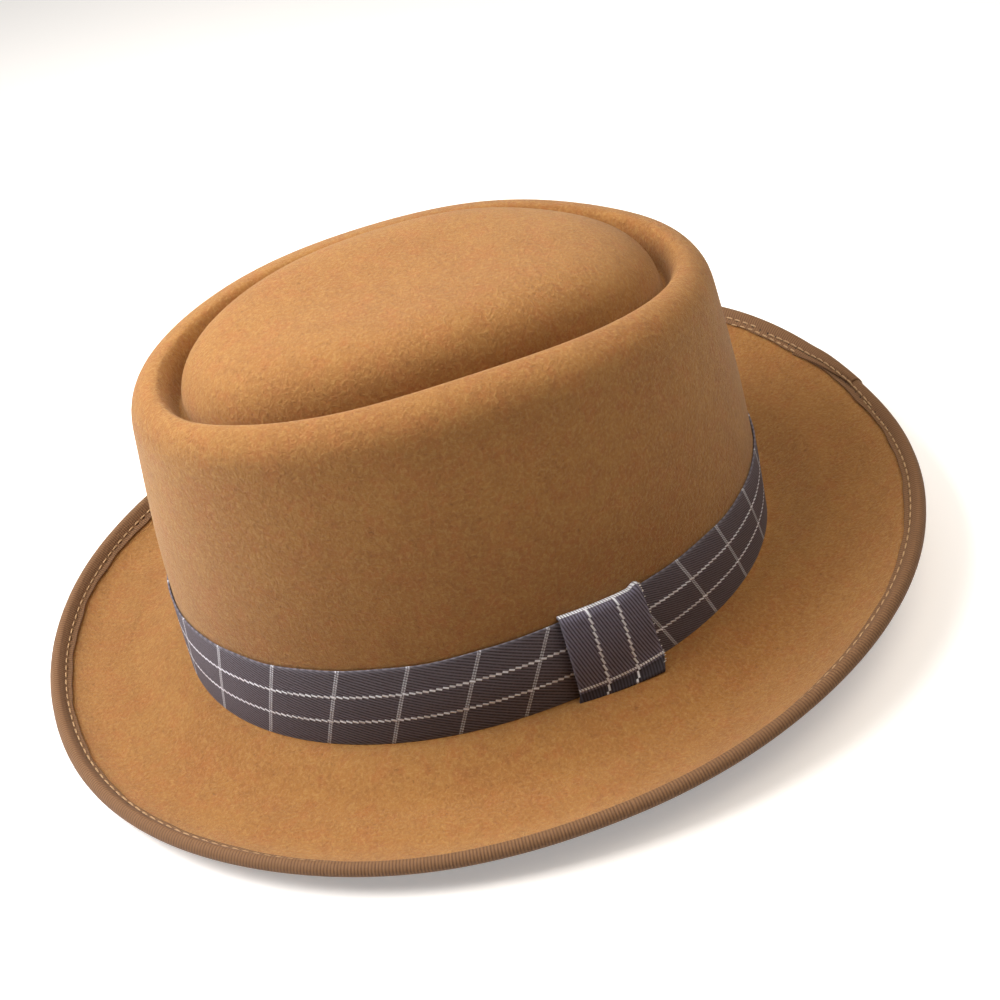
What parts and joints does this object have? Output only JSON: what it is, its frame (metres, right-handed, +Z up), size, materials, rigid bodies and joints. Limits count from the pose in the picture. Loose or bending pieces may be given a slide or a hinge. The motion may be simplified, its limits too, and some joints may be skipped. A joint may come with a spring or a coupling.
{
  "type": "porkpie hat",
  "caption": "Felt porkpie hat: a flat, creased crown, a short brim curled up at its edge, a woven check band with a keeper, and a taped brim edge.",
  "frame": {"origin": "on the floor under the middle of the hat's length and width", "axes": "+X towards the wearer's left, +Y towards the back, +Z up"},
  "size_m": [0.2814, 0.312, 0.1285],
  "materials": {
    "felt": "matte",
    "band_cloth": "matte",
    "edge_tape": "matte"
  },
  "bodies": {
    "root": {"felt_body": "felt", "hatband": "band_cloth", "band_keeper": "band_cloth", "brim_binding": "edge_tape", "binding_fold": "edge_tape"}
  },
  "joints": []
}
